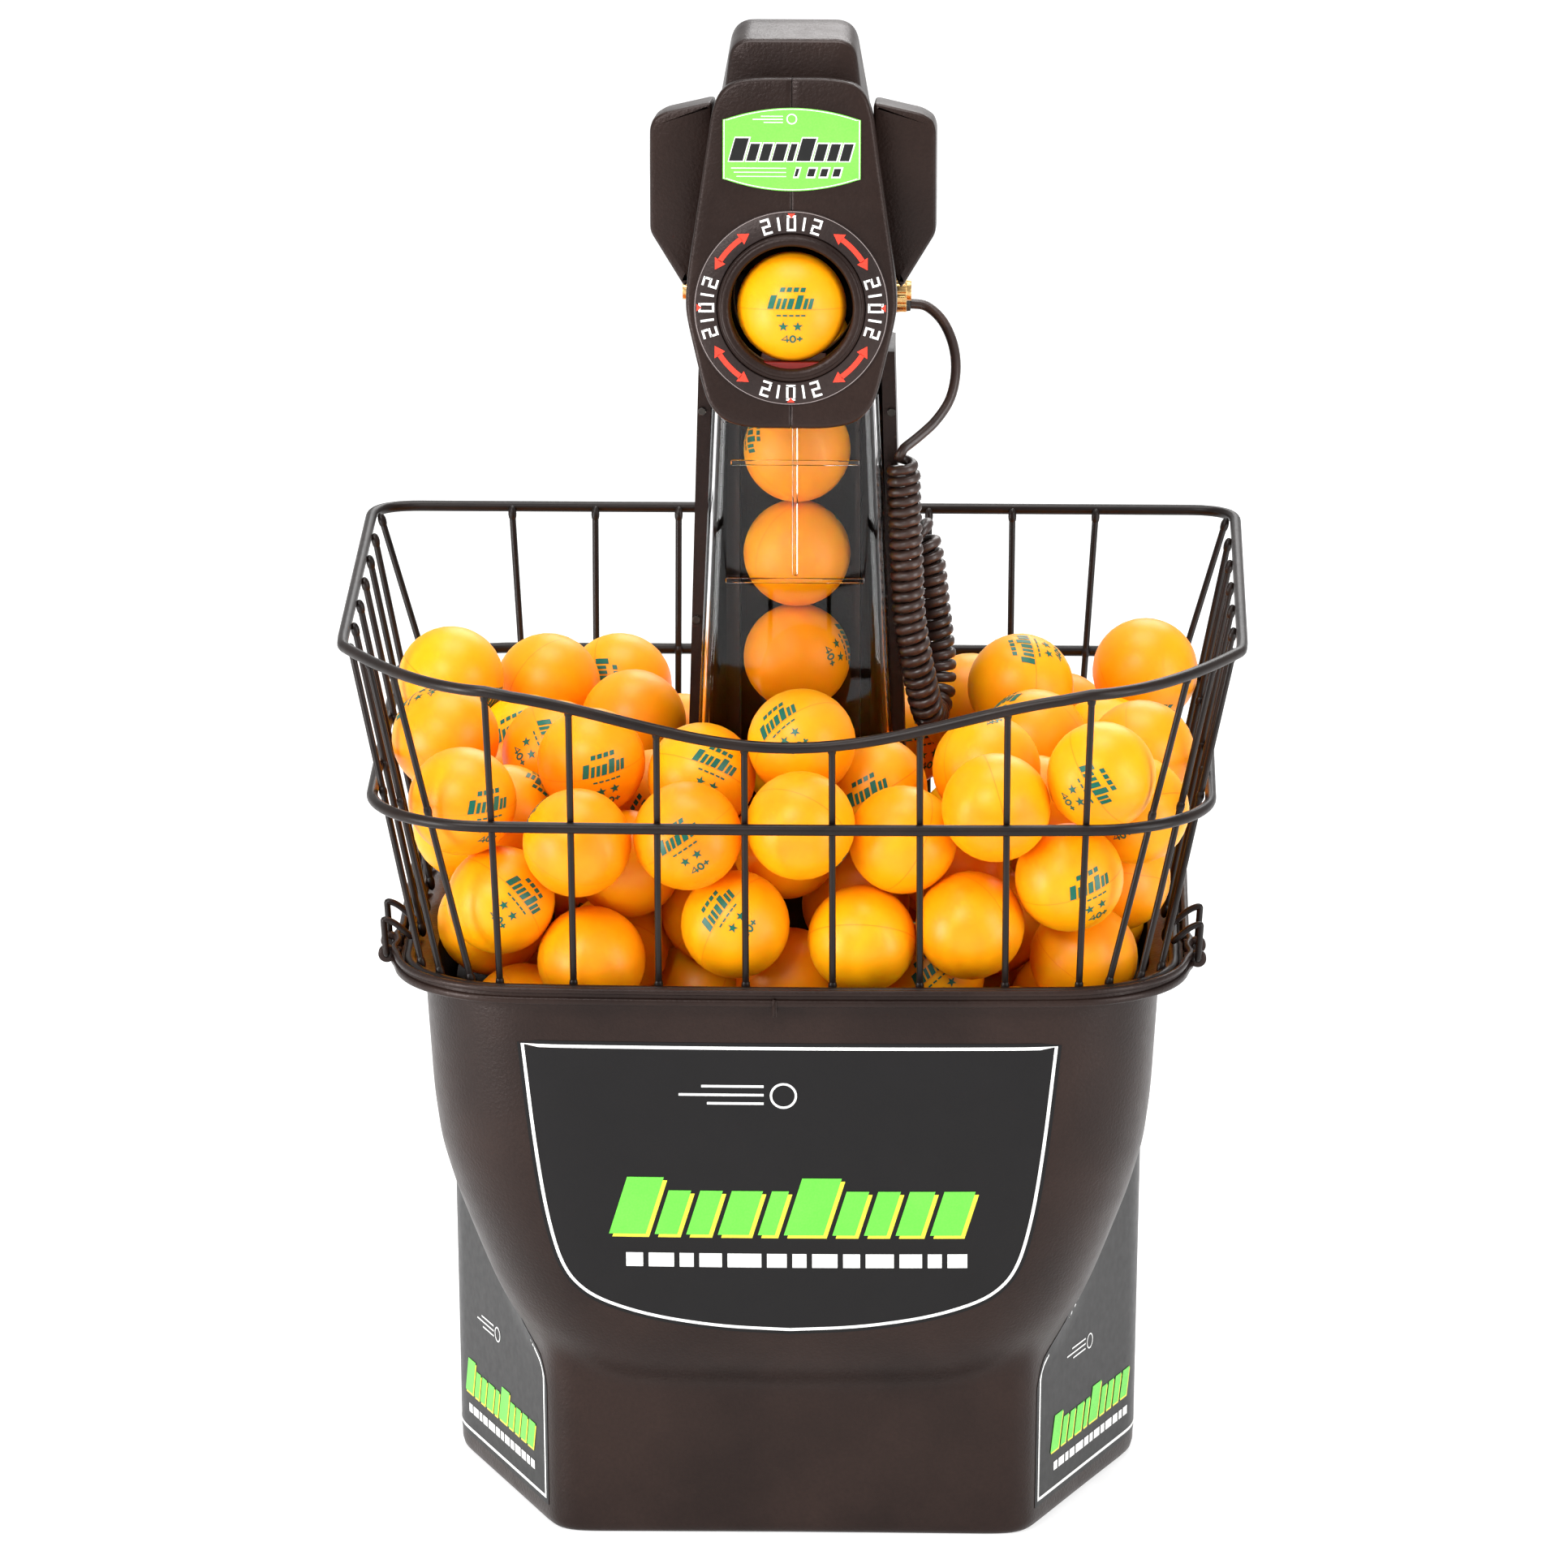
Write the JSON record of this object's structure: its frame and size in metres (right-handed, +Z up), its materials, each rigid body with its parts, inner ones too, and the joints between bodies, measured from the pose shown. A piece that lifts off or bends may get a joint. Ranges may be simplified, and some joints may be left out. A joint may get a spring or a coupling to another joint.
{
  "type": "table tennis ball robot",
  "caption": "Table-tennis ball robot: hopper bucket with wire ball basket, oscillating feed tower, and a throwing head that tilts and rotates for spin.",
  "frame": {"origin": "centre of the overall footprint, on the floor", "axes": "+Z up; -Y is the front, the way the balls are thrown; +X is the object's left as it faces the player, the right of a viewer in front"},
  "size_m": [0.3348, 0.2834, 0.5645],
  "materials": {
    "body_plastic": "satin, fine moulded texture",
    "inner_plastic": "matte",
    "wire_coat": "satin powder coat",
    "ball_plastic": "satin",
    "clear_plastic": "clear, glossy",
    "gear_plastic": "semi-gloss",
    "steel": "satin",
    "brass": "satin",
    "black_rubber": "matte",
    "red_rubber": "matte",
    "cord_rubber": "satin",
    "label_film": "printed film",
    "dial_film": "printed film"
  },
  "bodies": {
    "root": {"bucket": "body_plastic", "hopper_floor": "inner_plastic", "chassis_screws": "steel", "standoffs": "steel", "basket_top_ring": "wire_coat", "basket_mid_ring": "wire_coat", "basket_bottom_ring": "wire_coat", "basket_wires": "wire_coat", "ball_pile": "ball_plastic", "chassis_plate": "steel", "tower_bearing": "gear_plastic", "oscillator_motor": "steel", "feed_gearmotor": "steel", "feed_guide": "inner_plastic", "cable_socket": "black_rubber"},
    "feed_star": {"feed_wheel": "gear_plastic", "pocket_balls": "ball_plastic"},
    "pinion": {"osc_pinion": "gear_plastic"},
    "tower": {"tower_channel": "body_plastic", "tower_window": "clear_plastic", "sector_gear": "gear_plastic", "tube_balls": "ball_plastic", "tower_screws": "steel", "cord_gland": "black_rubber", "cord_socket": "body_plastic", "cord_lead": "cord_rubber", "curly_cord": "cord_rubber"},
    "tilt_cradle": {"cradle": "body_plastic"},
    "head": {"face_left": "body_plastic", "face_right": "body_plastic", "throat_tube": "inner_plastic", "muzzle_ring": "body_plastic", "spin_dial": "dial_film", "wing_left": "body_plastic", "wing_right": "body_plastic", "wheel_hood": "body_plastic", "friction_block": "red_rubber", "speed_motor": "steel", "head_screws": "steel", "head_label": "label_film", "served_ball": "ball_plastic"},
    "throw_wheel": {"wheel_hub": "steel", "wheel_tyre": "black_rubber"},
    "nut_left": {"tilt_nut_left": "brass"},
    "nut_right": {"tilt_nut_right": "brass"},
    "hook_left": {"clip_left": "wire_coat"},
    "hook_right": {"clip_right": "wire_coat"}
  },
  "joints": [
    {"name": "tower_sweep", "type": "hinge", "parent": "root", "child": "tower", "pos_m": [0, 0.016, 0.15], "axis": [0, 0, 1], "range_deg": [-18, 18]},
    {"name": "osc_pinion_spin", "type": "hinge", "parent": "root", "child": "pinion", "pos_m": [0, 0.071, 0.139], "axis": [0, 0, 1], "range_deg": [-72, 72]},
    {"name": "feed_spin", "type": "hinge", "parent": "root", "child": "feed_star", "pos_m": [0, -0.026, 0.1], "axis": [0, 0, 1], "continuous": true},
    {"name": "head_tilt", "type": "hinge", "parent": "tower", "child": "tilt_cradle", "pos_m": [0, 0.016, 0.4552], "axis": [-1, 0, 0], "range_deg": [-5, 20]},
    {"name": "head_spin", "type": "hinge", "parent": "tilt_cradle", "child": "head", "pos_m": [0, 0.016, 0.4552], "axis": [0, -0.9877, 0.1564], "range_deg": [-180, 180]},
    {"name": "throw_spin", "type": "hinge", "parent": "head", "child": "throw_wheel", "pos_m": [0, -0.04438, 0.51316], "axis": [1, 0, 0], "continuous": true},
    {"name": "nut_left_turn", "type": "hinge", "parent": "tilt_cradle", "child": "nut_left", "pos_m": [-0.0385, 0.016, 0.4552], "axis": [-1, 0, 0], "range_deg": [0, 360]},
    {"name": "nut_right_turn", "type": "hinge", "parent": "tilt_cradle", "child": "nut_right", "pos_m": [0.0385, 0.016, 0.4552], "axis": [1, 0, 0], "range_deg": [0, 360]},
    {"name": "hook_left_swing", "type": "hinge", "parent": "root", "child": "hook_left", "pos_m": [-0.15, -0.058, 0.2215], "axis": [0, -1, 0], "range_deg": [0, 100]},
    {"name": "hook_right_swing", "type": "hinge", "parent": "root", "child": "hook_right", "pos_m": [0.15, -0.058, 0.2215], "axis": [0, 1, 0], "range_deg": [0, 100]}
  ],
  "couplings": [
    {"joint": "osc_pinion_spin", "follows": "tower_sweep", "ratio": -4}
  ]
}
